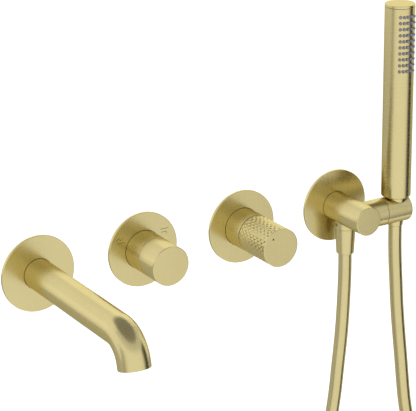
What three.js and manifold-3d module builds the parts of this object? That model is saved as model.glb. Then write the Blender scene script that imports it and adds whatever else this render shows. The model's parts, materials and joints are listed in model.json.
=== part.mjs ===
// Wall mounted bath faucet: a bath spout, a diverter knob, a mixer knob, and a wall outlet
// that carries a stick hand shower on a hose.
//
// Frame: millimetres, +Z up. The finished wall is the plane y = 0 and the room is at -Y.
// The four pieces stand in one row along +X, and the origin is where the mixer's axis
// meets the wall. "Out" means the distance from the wall into the room, which is -y.
import * as THREE from 'three';
import { mergeVertices } from 'three/addons/utils/BufferGeometryUtils.js';
import Module from 'manifold-3d';

const wasm = await Module();
wasm.setup();

// ---- Driving dimensions ---------------------------------------------------------------

const GAP = 0.3; // left between pieces that touch
const SPACING = 120; // from each axis in the row to the next
const OVERRUN = 2; // how far a cutter runs past the surface it cuts

const ROSETTE = {
  radius: 40,
  thickness: 3.2,
  edge: 0.5, // front chamfer
  boreGap: 0.45, // open ring around the tube that passes through
  sealMargin: 4, // from the rim to the foam seal behind it
  sealWidth: 6,
  sealDepth: 1.6,
};

const SPOUT = {
  radius: 16,
  wall: 1.5,
  setIn: 4, // how far the tube reaches behind the wall plane
  straight: 165.5, // from the wall to the start of the bend
  bendRadius: 29,
  bendAngle: THREE.MathUtils.degToRad(76.3),
  tail: 6.5, // straight length after the bend
  bendSteps: 8,
};

// The adapter that the spout slides over. "out" is a groove's middle, from the wall.
const ADAPTER = { shoulder: -3, lip: 6 };
const ADAPTER_SCREW = { out: 12, radius: 2.5, grooveDepth: 3, grooveHalf: 4 };
const ADAPTER_RING = { out: 21.8, grooveDepth: 2.6, grooveHalf: 1.8 };

const NIPPLE = { radius: 10.4, bore: 7.2, setIn: 30 }; // half-inch threaded pipe end
const AERATOR = {
  wall: 2,
  recess: 0.8,
  length: 4.4,
  washer: 1,
  washerLip: 2,
  plate: 3,
  plateRecess: 1,
  rings: 3,
  holeRadius: 0.9,
  ringStep: 3.8,
};

const CONTROL = {
  radius: 20.85, // sleeve and handle
  sleeveWall: 2.5,
  sleeveSetIn: 6,
  sleeveFront: 28.1,
  handleStart: 28.6,
  handleWall: 2.6,
  pocketRadius: 12.3, // the handle's pocket for its adapter
  pocketDepth: 18,
  pocketGap: 4, // from the cartridge's neck to the pocket
  edge: 0.7,
  screwOut: 38, // grub screw's distance from the wall
  screwRadius: 2,
  screwRecess: 1,
};
const DIVERTER_FACE = 58.7; // handle faces, from the wall
const MIXER_FACE = 77;

const VALVE = { sleeveGap: 1.35, wall: 2.7, front: 22, setIn: 26, floor: 12, port: 5 };
const VALVE_RING = { out: 12, grooveDepth: 0.7, grooveHalf: 1.2 };
const CARTRIDGE_NECK = { radius: 9, front: 26 };
const SPINDLE = { radius: 4, start: 6, front: 45.5 };
const SPINDLE_BORE_GAP = 0.4;
const INDICATOR = { radius: 0.9, depth: 0.9, x: -9.2, z: 11 };

const OUTLET = { radius: 15.75, front: 65, edge: 0.7, setIn: 6, socketEnd: 10, bore: 7.5, boreFront: 30 };
const NECK = { out: 22.6, radius: 11.8, bottom: -19.2, stubRadius: 9.2 };
const NECK_SCREW = { z: -14, radius: 1.7, length: 3 };
const CHECK_VALVE = { lift: 1, length: 10, bore: 4.5, poppet: 2.5, end: 2, rise: 3 };

const FERRULE = { radius: 5.5, bore: 4, flange: 2.3 };
const PASSAGE = 5; // radius of the water passage through washers and the inlet
const HOSE_WASHER = 1.8; // thickness
const HOSE_NUT = { bottom: -48.5, topRadius: 11.1, bottomRadius: 9.5, round: 1.1, floor: -32.4 };

const ARM = { out: 47, radius: 14.9, end: 29.6 };
const FRICTION_WASHER = { thickness: 0.6, inset: 0.6 }; // between the arm and the cup
const PIVOT = { radius: 5, start: 12.3 };
const CUP = { wall: 0.85, pivotWall: 0.95, edge: 1.5, seatGap: 0.35 };

const HAND = {
  x: 48.6, // its axis, measured along the arm
  radius: 16,
  wall: 1.8,
  length: 211.9,
  rise: 0.4, // from the top of the cup to the barrel
  chamfer: 2,
  floor: 2.2,
  capThickness: 2.6,
  capSpigot: 4.5,
};
const CAP_SEAL = { grooveDepth: 1.9, grooveHalf: 1.3 };
const CONE = { bottom: -18.2, topRadius: 11.5, bottomRadius: 8.1, floor: 2 };
const INLET = { threadRadius: 8.5, start: 5, flange: 4, tail: 8, tailGap: 0.5 }; // in the hand shower
const LIMITER = { hole: 1.5, start: 2, length: 4 };
const NOZZLES = {
  rows: 10,
  columns: 5,
  pitch: 6.47,
  below: 11.47, // from the hand shower's top to the top row
  columnAngle: THREE.MathUtils.degToRad(14.25),
  facing: THREE.MathUtils.degToRad(-5.5), // the spray face turns this far to the left
  baseRadius: 1.2,
  tipRadius: 0.9,
  standOut: 2.5,
  margin: 4, // silicone around the outer nozzles
  sheet: 1.9, // thickness of the silicone behind the barrel
  root: 1, // how deep a nozzle is rooted in it
};
const WATERWAY = { gap: 0.5, wall: 2.5, end: 2, topGap: 1 };

const HOSE_RADIUS = 7.3;
// The hose's route, from the outlet's nut round its loop to the hand shower's nut.
const HOSE_ROUTE = [
  [120, -22.6, -48.8],
  [120, -22.6, -70],
  [119.4, -22.5, -93],
  [117.1, -22.1, -139],
  [112.9, -21.4, -184],
  [109.7, -20.6, -218],
  [102.6, -19.8, -260],
  [86, -19, -320],
  [65, -18.6, -378],
  [48.5, -18.6, -425],
  [41, -19.5, -466],
  [48, -21.6, -506],
  [74, -26, -542],
  [108, -31.5, -560],
  [140, -36.5, -564],
  [172, -41.5, -560],
  [206, -47.5, -542],
  [232, -52.5, -506],
  [240, -55.2, -466],
  [235, -56.2, -425],
  [219, -56, -378],
  [202, -54.4, -320],
  [189.2, -52.2, -260],
  [184.2, -51, -231],
  [178.6, -49.3, -174],
  [175.3, -48.3, -140],
  [172.6, -47.6, -107],
  [171.2, -47.2, -82],
  [169.8, -47, -60],
  [168.9, -47, -40],
  [168.6, -47, -18.5],
];
const HOSE_SPLIT = 26; // route point where the long loop hands over to the short lead
const HOSE_SIDES = 8;
const LOOP_STEPS = 32;
const LEAD_STEPS = 4;
const POINTS_PER_SPAN = 4; // points copied from the whole route, between two of its own

// ---- Places that follow from them -----------------------------------------------------

const SPOUT_X = -2 * SPACING;
const DIVERTER_X = -SPACING;
const MIXER_X = 0;
const OUTLET_X = SPACING;

const SPOUT_BORE = SPOUT.radius - SPOUT.wall;
const AERATOR_BORE = SPOUT_BORE - GAP - AERATOR.wall;
const SLEEVE_BORE = CONTROL.radius - CONTROL.sleeveWall;
const VALVE_RADIUS = SLEEVE_BORE - VALVE.sleeveGap;
const VALVE_BORE = VALVE_RADIUS - VALVE.wall;

const NUT_TOP = NECK.bottom - GAP;
const STUB_BOTTOM = HOSE_NUT.floor + FERRULE.flange + HOSE_WASHER + 2 * GAP;
const CUP_START = ARM.end + FRICTION_WASHER.thickness + 2 * GAP;
const CUP_END = HAND.x + CONE.topRadius + CUP.seatGap + CUP.wall;
const PIVOT_END = HAND.x - CONE.topRadius - CUP.seatGap - CUP.pivotWall;

const BARREL_BORE = HAND.radius - HAND.wall;
const BARREL_BOTTOM = ARM.radius + HAND.rise;
const HAND_TOP = BARREL_BOTTOM + HAND.length;
const CONE_TOP = BARREL_BOTTOM - GAP;
const MAT_INNER = BARREL_BORE - GAP - NOZZLES.sheet;
const WATERWAY_RADIUS = MAT_INNER - WATERWAY.gap;
const WATERWAY_BORE = WATERWAY_RADIUS - WATERWAY.wall;
const FIRST_NOZZLE = HAND_TOP - NOZZLES.below - (NOZZLES.rows - 1) * NOZZLES.pitch;

// ---- Materials ------------------------------------------------------------------------

const finish = (color, roughness, metalness) =>
  new THREE.MeshStandardMaterial({ color, roughness, metalness });

const GOLD = finish(0xcdbf87, 0.32, 1);
const BRASS = finish(0xb5924a, 0.45, 1);
const STEEL = finish(0x9c9c98, 0.4, 1);
const RUBBER = finish(0x1d1d1f, 0.85, 0);
const SILICONE = finish(0x6d6c7c, 0.7, 0);
const PLASTIC = finish(0xd8d8d2, 0.55, 0);
const DARK_PLASTIC = finish(0x3a3a3d, 0.5, 0);
const INK = finish(0x2a2620, 0.6, 0);

// ---- Geometry helpers -----------------------------------------------------------------

// Round pieces get flat sides that grow in number with their radius.
const sidesFor = (radius) => (radius > 18 ? 32 : radius > 9 ? 20 : radius > 3 ? 12 : 8);

// A turned piece about +Y from a profile of [radius, height] points. A profile that
// doesn't start and end on the axis is closed on itself, as a ring.
function turned(profile, sides) {
  const points = profile.map(([radius, height]) => new THREE.Vector2(radius, height));
  const ring = points[0].x > 0 || points.at(-1).x > 0;
  if (ring) points.push(points[0].clone());
  if (THREE.ShapeUtils.area(points) < 0) points.reverse();
  const widest = Math.max(...points.map((point) => point.x));
  return new THREE.LatheGeometry(points, sides ?? sidesFor(widest));
}

const outward = (profile, sides) => turned(profile, sides).rotateX(Math.PI); // heights run to -Y
const upright = (profile, sides) => turned(profile, sides).rotateX(Math.PI / 2); // heights run to +Z
const sideways = (profile, sides) => turned(profile, sides).rotateZ(-Math.PI / 2); // heights run to +X

const cylinder = (radius, low, high) => [
  [0, low],
  [radius, low],
  [radius, high],
  [0, high],
];

const tube = (inner, outer, low, high) => [
  [inner, low],
  [outer, low],
  [outer, high],
  [inner, high],
];

// The round section of an O-ring.
function torus(centre, section, height) {
  const corners = 6;
  return Array.from({ length: corners }, (_, i) => {
    const angle = ((i + 0.5) * 2 * Math.PI) / corners;
    return [centre + section * Math.cos(angle), height + section * Math.sin(angle)];
  });
}

// A headless screw with a socket. Its socket end is at the given height.
function grubScrew(radius, length, socketEnd) {
  const low = socketEnd - length;
  const socket = radius / 2;
  const depth = length / 2;
  return [
    [0, low],
    [radius, low],
    [radius, socketEnd],
    [socket, socketEnd],
    [socket, socketEnd - depth],
    [0, socketEnd - depth],
  ];
}

function solid(geometry) {
  const plain = geometry.clone();
  plain.deleteAttribute('normal');
  plain.deleteAttribute('uv');
  const merged = mergeVertices(plain, 1e-4);
  const index = merged.index.array;
  const corners = [];
  for (let i = 0; i < index.length; i += 3) {
    const [a, b, c] = index.subarray(i, i + 3);
    if (a !== b && b !== c && c !== a) corners.push(a, b, c);
  }
  return new wasm.Manifold(
    new wasm.Mesh({
      numProp: 3,
      vertProperties: new Float32Array(merged.attributes.position.array),
      triVerts: new Uint32Array(corners),
    }),
  );
}

function geometryOf(manifold) {
  const mesh = manifold.getMesh();
  const geometry = new THREE.BufferGeometry();
  geometry.setAttribute('position', new THREE.BufferAttribute(mesh.vertProperties, 3));
  geometry.setIndex(new THREE.BufferAttribute(mesh.triVerts, 1));
  geometry.computeVertexNormals();
  return geometry;
}

const cut = (body, ...cutters) =>
  geometryOf(cutters.reduce((left, cutter) => left.subtract(solid(cutter)), solid(body)));

const group = new THREE.Group();

function add(name, geometry, material, parent = group) {
  const mesh = new THREE.Mesh(geometry, material);
  mesh.name = name;
  parent.add(mesh);
}

function placed(x, y = 0, z = 0, parent = group) {
  const place = new THREE.Group();
  place.position.set(x, y, z);
  parent.add(place);
  return place;
}

// ---- Rosettes -------------------------------------------------------------------------

function addRosette(name, place, tubeRadius) {
  const { radius, thickness, edge, boreGap, sealMargin, sealWidth, sealDepth } = ROSETTE;
  const bore = tubeRadius + boreGap;
  const sealOuter = radius - sealMargin;
  const sealInner = sealOuter - sealWidth;
  const profile = [
    [bore, 0],
    [sealInner - GAP, 0],
    [sealInner - GAP, sealDepth + GAP],
    [sealOuter + GAP, sealDepth + GAP],
    [sealOuter + GAP, 0],
    [radius, 0],
    [radius, thickness - edge],
    [radius - edge, thickness],
    [bore, thickness],
  ];
  add(`${name}_rosette`, outward(profile), GOLD, place);
  add(`${name}_rosette_seal`, outward(tube(sealInner, sealOuter, 0, sealDepth)), RUBBER, place);
}

// ---- Bath spout -----------------------------------------------------------------------

// The spout's centreline: straight out of the wall, one round bend down and a short tail.
// Equal steps of t give the two straight lengths one step each and the bend the rest.
class SpoutLine extends THREE.Curve {
  steps = SPOUT.bendSteps + 2;

  getUtoTmapping(u) {
    return u;
  }

  getPoint(t, target = new THREE.Vector3()) {
    const step = t * this.steps;
    const full = SPOUT.straight + SPOUT.setIn;
    const before = Math.min(step, 1) * full - SPOUT.setIn;
    const turn = THREE.MathUtils.clamp((step - 1) / SPOUT.bendSteps, 0, 1) * SPOUT.bendAngle;
    const after = Math.max(step - 1 - SPOUT.bendSteps, 0) * SPOUT.tail;
    const out = before + SPOUT.bendRadius * Math.sin(turn) + after * Math.cos(turn);
    const drop = SPOUT.bendRadius * (1 - Math.cos(turn)) + after * Math.sin(turn);
    return target.set(0, -out, -drop);
  }
}

function circlePoints(radius, sides, x = 0, y = 0) {
  const circle = new THREE.EllipseCurve(x, y, radius, radius);
  return circle.getPoints(sides).slice(0, -1);
}

function circleShape(radius, sides, hole) {
  const shape = new THREE.Shape(circlePoints(radius, sides));
  if (hole) shape.holes.push(new THREE.Path(circlePoints(hole, sides)));
  return shape;
}

const swept = (shape, line, steps) =>
  new THREE.ExtrudeGeometry(shape, { extrudePath: line, steps, curveSegments: 1 });

function addSpout() {
  const place = placed(SPOUT_X);
  addRosette('spout', place, SPOUT.radius);

  const line = new SpoutLine();
  const { out: screwOut, radius: screwRadius } = ADAPTER_SCREW;
  const pipe = swept(circleShape(SPOUT.radius, sidesFor(SPOUT.radius), SPOUT_BORE), line, line.steps);
  const screwHole = upright(cylinder(screwRadius + GAP, -SPOUT.radius - OVERRUN, -SPOUT_BORE + OVERRUN));
  add('spout_tube', cut(pipe, screwHole.translate(0, -screwOut, 0)), GOLD, place);
  addSpoutAdapter(place);

  const screwLength = SPOUT.radius - (SPOUT_BORE - GAP - ADAPTER_SCREW.grooveDepth) - 2 * GAP;
  const screw = turned(grubScrew(screwRadius, screwLength, SPOUT.radius - GAP)).rotateX(-Math.PI / 2);
  add('spout_grub_screw', screw.translate(0, -screwOut, 0), STEEL, place);

  addAerator(line, place);
}

// The adapter that the tube slides over: a threaded end, a groove for the grub screw
// and a groove for the O-ring.
function addSpoutAdapter(place) {
  const { shoulder, lip } = ADAPTER;
  const { out: screwOut, grooveHalf: screwHalf } = ADAPTER_SCREW;
  const { out: ringOut, grooveHalf: ringHalf } = ADAPTER_RING;
  const seat = SPOUT_BORE - GAP;
  const screwGroove = seat - ADAPTER_SCREW.grooveDepth;
  const ringGroove = seat - ADAPTER_RING.grooveDepth;
  const front = ringOut + lip;
  add(
    'spout_inlet_adapter',
    outward([
      [NIPPLE.bore, -NIPPLE.setIn],
      [NIPPLE.radius, -NIPPLE.setIn],
      [NIPPLE.radius, shoulder],
      [seat, shoulder],
      [seat, screwOut - screwHalf],
      [screwGroove, screwOut - screwHalf],
      [screwGroove, screwOut + screwHalf],
      [seat, screwOut + screwHalf],
      [seat, ringOut - ringHalf],
      [ringGroove, ringOut - ringHalf],
      [ringGroove, ringOut + ringHalf],
      [seat, ringOut + ringHalf],
      [seat, front],
      [NIPPLE.bore, front],
    ]),
    BRASS,
    place,
  );
  const ringSection = (seat - ringGroove - GAP) / 2;
  const ringCentre = ringGroove + GAP + ringSection;
  add('spout_o_ring', outward(torus(ringCentre, ringSection, ringOut)), RUBBER, place);
}

// The aerator stands in the tube's open end. Heights run out of the mouth, from 0 at it.
function addAerator(line, parent) {
  const mouth = line.getPoint(1);
  const place = placed(mouth.x, mouth.y, mouth.z, parent);
  place.rotation.x = Math.PI + SPOUT.bendAngle;

  const outer = SPOUT_BORE - GAP;
  const front = -AERATOR.recess;
  const back = front - AERATOR.length;
  add('aerator_housing', turned(tube(AERATOR_BORE, outer, back, front)), DARK_PLASTIC, place);
  const washerInner = AERATOR_BORE - AERATOR.washerLip;
  const washer = tube(washerInner, outer, back - GAP - AERATOR.washer, back - GAP);
  add('aerator_washer', turned(washer), RUBBER, place);

  const plate = circleShape(AERATOR_BORE - GAP, sidesFor(AERATOR_BORE));
  for (let ring = 0; ring < AERATOR.rings; ring++) {
    const count = ring ? 6 * ring : 1;
    for (let i = 0; i < count; i++) {
      const centre = new THREE.Vector2(ring * AERATOR.ringStep, 0);
      centre.rotateAround(new THREE.Vector2(), (i * 2 * Math.PI) / count);
      plate.holes.push(new THREE.Path(circlePoints(AERATOR.holeRadius, 6, centre.x, centre.y)));
    }
  }
  const insert = new THREE.ExtrudeGeometry(plate, { depth: AERATOR.plate, bevelEnabled: false });
  insert.rotateX(-Math.PI / 2).translate(0, front - AERATOR.plateRecess - AERATOR.plate, 0);
  add('aerator_insert', insert, PLASTIC, place);
}

// ---- Diverter and mixer ---------------------------------------------------------------

function addControl(name, x, face, indicator) {
  const place = placed(x);
  addRosette(name, place, CONTROL.radius);
  addValve(name, place);
  addHandle(name, place, face, indicator);
}

function addValve(name, place) {
  const { front, setIn, floor, port } = VALVE;
  const { out: ringOut, grooveHalf: ringHalf } = VALVE_RING;
  const ringGroove = VALVE_RADIUS - VALVE_RING.grooveDepth;
  add(
    `${name}_sleeve`,
    outward([
      [SLEEVE_BORE, -CONTROL.sleeveSetIn],
      [CONTROL.radius, -CONTROL.sleeveSetIn],
      [CONTROL.radius, CONTROL.sleeveFront - GAP],
      [CONTROL.radius - GAP, CONTROL.sleeveFront],
      [SLEEVE_BORE, CONTROL.sleeveFront],
    ]),
    GOLD,
    place,
  );
  add(
    `${name}_valve_body`,
    outward([
      [port, -setIn],
      [VALVE_RADIUS, -setIn],
      [VALVE_RADIUS, ringOut - ringHalf],
      [ringGroove, ringOut - ringHalf],
      [ringGroove, ringOut + ringHalf],
      [VALVE_RADIUS, ringOut + ringHalf],
      [VALVE_RADIUS, front],
      [VALVE_BORE, front],
      [VALVE_BORE, floor - setIn],
      [port, floor - setIn],
    ]),
    BRASS,
    place,
  );
  const ringSection = (SLEEVE_BORE - ringGroove) / 2 - GAP;
  const ringCentre = (SLEEVE_BORE + ringGroove) / 2;
  add(`${name}_sleeve_o_ring`, outward(torus(ringCentre, ringSection, ringOut)), RUBBER, place);

  const cartridge = VALVE_BORE - GAP;
  const spindleBore = SPINDLE.radius + SPINDLE_BORE_GAP;
  add(
    `${name}_cartridge`,
    outward([
      [0, floor - setIn + GAP],
      [cartridge, floor - setIn + GAP],
      [cartridge, front],
      [CARTRIDGE_NECK.radius, front],
      [CARTRIDGE_NECK.radius, CARTRIDGE_NECK.front],
      [spindleBore, CARTRIDGE_NECK.front],
      [spindleBore, SPINDLE.start - SPINDLE_BORE_GAP],
      [0, SPINDLE.start - SPINDLE_BORE_GAP],
    ]),
    PLASTIC,
    place,
  );
  const nut = tube(CARTRIDGE_NECK.radius + GAP, VALVE_RADIUS - GAP, front + GAP, CARTRIDGE_NECK.front);
  add(`${name}_cartridge_nut`, outward(nut), BRASS, place);
}

function addHandle(name, place, face, indicator) {
  const { radius, handleStart, handleWall, pocketRadius, pocketDepth, pocketGap, edge } = CONTROL;
  const { screwOut, screwRadius, screwRecess } = CONTROL;
  const pocketStart = CARTRIDGE_NECK.front + pocketGap;
  const pocketEnd = handleStart + pocketDepth;
  const handle = outward([
    [0, pocketEnd],
    [pocketRadius, pocketEnd],
    [pocketRadius, pocketStart],
    [radius - handleWall, pocketStart],
    [radius - handleWall, handleStart],
    [radius - GAP, handleStart],
    [radius, handleStart + GAP],
    [radius, face - edge],
    [radius - edge, face],
    [0, face],
  ]);
  const screwHole = upright(cylinder(screwRadius + GAP, -radius - OVERRUN, -pocketRadius + OVERRUN));
  const cutters = [screwHole.translate(0, -screwOut, 0)];
  if (indicator) {
    const { radius: dot, depth, x, z } = INDICATOR;
    const well = outward(cylinder(dot + GAP, face - depth - GAP, face + OVERRUN));
    cutters.push(well.translate(x, 0, z));
    add(`${name}_indicator`, outward(cylinder(dot, face - depth, face)).translate(x, 0, z), INK, place);
  }
  add(`${name}_handle`, cut(handle, ...cutters), GOLD, place);

  const adapter = tube(SPINDLE.radius + GAP, pocketRadius - GAP, pocketStart + GAP, pocketEnd - GAP);
  add(`${name}_handle_adapter`, outward(adapter), BRASS, place);
  add(`${name}_spindle`, outward(cylinder(SPINDLE.radius, SPINDLE.start, SPINDLE.front)), STEEL, place);

  const screwEnd = radius - screwRecess;
  const screw = turned(grubScrew(screwRadius, screwEnd - pocketRadius, screwEnd)).rotateX(-Math.PI / 2);
  add(`${name}_grub_screw`, screw.translate(0, -screwOut, 0), STEEL, place);
}

// ---- Wall outlet ----------------------------------------------------------------------

function addOutlet() {
  const place = placed(OUTLET_X);
  addRosette('outlet', place, OUTLET.radius);
  const bodyShape = outward([
    [0, -OUTLET.setIn],
    [OUTLET.radius, -OUTLET.setIn],
    [OUTLET.radius, OUTLET.front - OUTLET.edge],
    [OUTLET.radius - OUTLET.edge, OUTLET.front],
    [0, OUTLET.front],
  ]);
  const neck = upright([
    [0, STUB_BOTTOM],
    [NECK.stubRadius, STUB_BOTTOM],
    [NECK.stubRadius, NECK.bottom],
    [NECK.radius, NECK.bottom],
    [NECK.radius, 0],
    [0, 0],
  ]).translate(0, -NECK.out, 0);
  const arm = sideways(cylinder(ARM.radius, 0, ARM.end)).translate(0, -ARM.out, 0);

  const socket = outward(cylinder(NIPPLE.radius + GAP, -OUTLET.setIn - OVERRUN, OUTLET.socketEnd));
  const waterway = outward(cylinder(OUTLET.bore, OUTLET.socketEnd - OVERRUN, OUTLET.boreFront));
  const drop = upright(cylinder(OUTLET.bore, STUB_BOTTOM - OVERRUN, 0)).translate(0, -NECK.out, 0);
  const pivotBore = sideways(cylinder(PIVOT.radius + GAP, PIVOT.start - GAP, ARM.end + OVERRUN));
  const screwEnd = NECK.radius - GAP;
  const screwStart = screwEnd - NECK_SCREW.length;
  const screwHole = sideways(cylinder(NECK_SCREW.radius + GAP, screwStart - GAP, NECK.radius + OVERRUN));
  screwHole.rotateZ(Math.PI).translate(0, -NECK.out, NECK_SCREW.z);

  let body = solid(bodyShape).add(solid(neck)).add(solid(arm));
  for (const cutter of [socket, waterway, drop, pivotBore.translate(0, -ARM.out, 0), screwHole]) {
    body = body.subtract(solid(cutter));
  }
  add('outlet_body', geometryOf(body), GOLD, place);

  const nipple = tube(NIPPLE.bore, NIPPLE.radius, -NIPPLE.setIn, OUTLET.socketEnd - GAP);
  add('outlet_inlet_nipple', outward(nipple), BRASS, place);
  const screw = sideways(grubScrew(NECK_SCREW.radius, NECK_SCREW.length, screwEnd)).rotateZ(Math.PI);
  add('outlet_grub_screw', screw.translate(0, -NECK.out, NECK_SCREW.z), STEEL, place);
  addCheckValve(place);
}

// A cartridge in the outlet's stub that keeps used water from flowing back.
function addCheckValve(place) {
  const { lift, length, bore, poppet, end, rise } = CHECK_VALVE;
  const body = OUTLET.bore - GAP;
  const low = STUB_BOTTOM + lift;
  const high = low + length;
  const valve = upright([
    [0, high + rise],
    [poppet, high + rise],
    [body - end, high],
    [body, high],
    [body, low],
    [bore, low],
    [bore, high - end],
    [0, high - end],
  ]);
  add('check_valve', valve.translate(0, -NECK.out, 0), PLASTIC, place);
}

function addHolder() {
  const place = placed(OUTLET_X, -ARM.out);
  const pivot = sideways(cylinder(PIVOT.radius, PIVOT.start, PIVOT_END));
  add('holder_pivot', pivot, STEEL, place);
  const { thickness, inset } = FRICTION_WASHER;
  const washerStart = ARM.end + GAP;
  const washer = tube(PIVOT.radius + GAP, ARM.radius - inset, washerStart, washerStart + thickness);
  add('holder_friction_washer', sideways(washer), DARK_PLASTIC, place);

  const halfway = CUP.edge * (1 - Math.SQRT1_2); // the middle of the end's rounding
  const cup = sideways([
    [0, CUP_START],
    [ARM.radius, CUP_START],
    [ARM.radius, CUP_END - CUP.edge],
    [ARM.radius - halfway, CUP_END - halfway],
    [ARM.radius - CUP.edge, CUP_END],
    [0, CUP_END],
  ]);
  const pivotBore = sideways(cylinder(PIVOT.radius + GAP, CUP_START - OVERRUN, PIVOT_END + GAP));
  const reach = ARM.radius + OVERRUN;
  const seat = upright([
    [0, -reach],
    [coneRadius(-reach) + CUP.seatGap, -reach],
    [coneRadius(reach) + CUP.seatGap, reach],
    [0, reach],
  ]);
  add('holder_cup', cut(cup, pivotBore, seat.translate(HAND.x, 0, 0)), GOLD, place);
}

// ---- Hose and its nuts ----------------------------------------------------------------

function coneRadius(z) {
  const slope = (CONE.topRadius - CONE.bottomRadius) / (CONE_TOP - CONE.bottom);
  return CONE.bottomRadius + slope * (z - CONE.bottom);
}

// The flanged stem that a hose is crimped to, with its flange on the nut's floor.
const ferrule = (flangeRadius, nutFloor, nutBottom) => [
  [FERRULE.bore, nutBottom],
  [FERRULE.radius, nutBottom],
  [FERRULE.radius, nutFloor + GAP],
  [flangeRadius, nutFloor + GAP],
  [flangeRadius, nutFloor + FERRULE.flange],
  [FERRULE.bore, nutFloor + FERRULE.flange],
];

function addOutletHoseEnd() {
  const place = placed(OUTLET_X, -NECK.out);
  const { bottom, topRadius, bottomRadius, round, floor } = HOSE_NUT;
  const socket = NECK.stubRadius + GAP;
  const stemBore = FERRULE.radius + GAP;
  add(
    'outlet_hose_nut',
    upright([
      [stemBore, bottom],
      [bottomRadius - round, bottom],
      [bottomRadius, bottom + round],
      [topRadius, NUT_TOP - GAP],
      [topRadius - GAP, NUT_TOP],
      [socket, NUT_TOP],
      [socket, floor],
      [stemBore, floor],
    ]),
    GOLD,
    place,
  );
  add('outlet_hose_ferrule', upright(ferrule(NECK.stubRadius, floor, bottom)), STEEL, place);
  const washer = tube(PASSAGE, NECK.stubRadius, STUB_BOTTOM - GAP - HOSE_WASHER, STUB_BOTTOM - GAP);
  add('outlet_hose_washer', upright(washer), RUBBER, place);
}

function addShowerHoseEnd() {
  const place = placed(OUTLET_X + HAND.x, -ARM.out);
  const { bottom, topRadius, bottomRadius, floor } = CONE;
  const socket = INLET.threadRadius + GAP;
  const stemBore = FERRULE.radius + GAP;
  add(
    'shower_hose_cone',
    upright([
      [stemBore, bottom],
      [bottomRadius - GAP, bottom],
      [bottomRadius, bottom + GAP],
      [topRadius, CONE_TOP],
      [socket, CONE_TOP],
      [socket, floor],
      [stemBore, floor],
    ]),
    GOLD,
    place,
  );
  add('shower_hose_ferrule', upright(ferrule(INLET.threadRadius, floor, bottom)), STEEL, place);
  const washerLow = floor + FERRULE.flange + GAP;
  const washer = tube(PASSAGE, INLET.threadRadius, washerLow, washerLow + HOSE_WASHER);
  add('shower_hose_washer', upright(washer), RUBBER, place);
}

function addHose() {
  const route = HOSE_ROUTE.map((point) => new THREE.Vector3(...point));
  const whole = new THREE.CatmullRomCurve3(route, false, 'centripetal');
  const split = HOSE_SPLIT / (route.length - 1);
  const stretch = (from, to) => {
    const count = Math.round((to - from) * (route.length - 1) * POINTS_PER_SPAN);
    const shares = Array.from({ length: count + 1 }, (_, i) => from + ((to - from) * i) / count);
    return new THREE.CatmullRomCurve3(shares.map((share) => whole.getPoint(share)), false, 'centripetal');
  };
  const section = circleShape(HOSE_RADIUS, HOSE_SIDES);
  const loop = stretch(0, split);
  const lead = stretch(split, 1);
  const start = lead.getPoint(0);
  const along = lead.getTangent(0).multiplyScalar(GAP);
  lead.points[0].copy(start.add(along));
  add('hose_loop', swept(section, loop, LOOP_STEPS), GOLD);
  add('hose_lead', swept(section, lead, LEAD_STEPS), GOLD);
}

// ---- Hand shower ----------------------------------------------------------------------

// A piece that points along +Y, turned to point outwards at an angle to the right of -Y.
const aimed = (geometry, angle) => geometry.rotateX(Math.PI).rotateZ(angle);

function nozzlePlaces() {
  const middle = (NOZZLES.columns - 1) / 2;
  const places = [];
  for (let row = 0; row < NOZZLES.rows; row++) {
    for (let column = 0; column < NOZZLES.columns; column++) {
      const angle = NOZZLES.facing + (column - middle) * NOZZLES.columnAngle;
      places.push({ angle, z: FIRST_NOZZLE + row * NOZZLES.pitch });
    }
  }
  return places;
}

const peg = (baseRadius, tipRadius, low, high) => [
  [0, low],
  [baseRadius, low],
  [tipRadius, high],
  [0, high],
];

const NOZZLE_SIDES = 6;

// One solid for each nozzle's place, from a profile whose heights run out from the axis.
const pegs = (profile) =>
  nozzlePlaces().map(({ angle, z }) =>
    solid(aimed(turned(profile, NOZZLE_SIDES), angle).translate(0, 0, z)),
  );

function addBarrel(place) {
  const { radius, chamfer, floor, capThickness } = HAND;
  const rim = HAND_TOP - capThickness - GAP;
  const inletHole = INLET.threadRadius + GAP;
  const shell = upright([
    [inletHole, BARREL_BOTTOM],
    [radius - chamfer, BARREL_BOTTOM],
    [radius, BARREL_BOTTOM + chamfer],
    [radius, rim],
    [BARREL_BORE, rim],
    [BARREL_BORE, BARREL_BOTTOM + floor],
    [inletHole, BARREL_BOTTOM + floor],
  ]);
  const hole = NOZZLES.baseRadius + GAP;
  const holes = pegs(peg(hole, hole, MAT_INNER, radius + OVERRUN));
  add('shower_barrel', geometryOf(solid(shell).subtract(wasm.Manifold.union(holes))), GOLD, place);
}

// The silicone sheet behind the barrel's holes, with one nozzle through each of them.
function addNozzleMat(place) {
  const spread = ((NOZZLES.columns - 1) / 2) * NOZZLES.columnAngle + NOZZLES.margin / BARREL_BORE;
  const front = NOZZLES.facing - Math.PI / 2;
  const outer = BARREL_BORE - GAP;
  const arcSteps = 8;
  const arc = (radius, from, to) => {
    const curve = new THREE.EllipseCurve(0, 0, radius, radius, from, to, to < from);
    return curve.getPoints(arcSteps);
  };
  const outline = [
    ...arc(outer, front - spread, front + spread),
    ...arc(MAT_INNER, front + spread, front - spread),
  ];
  const height = (NOZZLES.rows - 1) * NOZZLES.pitch + 2 * NOZZLES.margin;
  const sheet = new THREE.ExtrudeGeometry(new THREE.Shape(outline), { depth: height, bevelEnabled: false });
  sheet.translate(0, 0, FIRST_NOZZLE - NOZZLES.margin);
  const { baseRadius, tipRadius, root, standOut } = NOZZLES;
  const nozzles = pegs(peg(baseRadius, tipRadius, MAT_INNER + root, HAND.radius + standOut));
  add('shower_nozzle_mat', geometryOf(solid(sheet).add(wasm.Manifold.union(nozzles))), SILICONE, place);
}

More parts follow.
